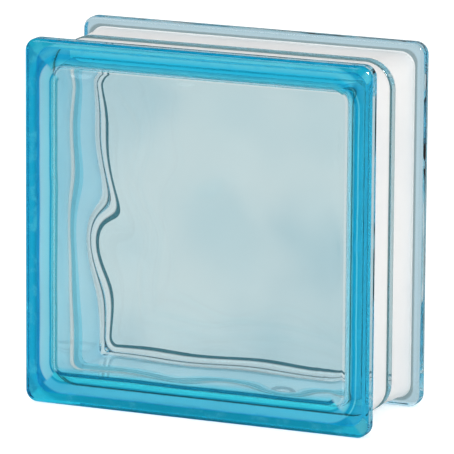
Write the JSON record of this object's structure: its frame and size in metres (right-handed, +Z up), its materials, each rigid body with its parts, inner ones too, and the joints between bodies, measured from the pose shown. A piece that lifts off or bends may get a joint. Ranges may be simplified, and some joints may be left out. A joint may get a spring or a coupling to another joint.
{
  "type": "glass block",
  "caption": "Square hollow glass building block with mortar grooves round its edges, wavy inner faces and white-coated side walls.",
  "frame": {"origin": "middle of the underside, on the level floor the block stands on", "axes": "+Z up, +X to the right across the face, front face looking along -Y"},
  "size_m": [0.19, 0.08, 0.19],
  "materials": {
    "glass": "clear azure pressed glass, glossy",
    "white_coating": "matt opaque white coat"
  },
  "bodies": {
    "root": {"front_half": "glass", "back_half": "glass", "front_coating": "white_coating", "back_coating": "white_coating"}
  },
  "joints": []
}
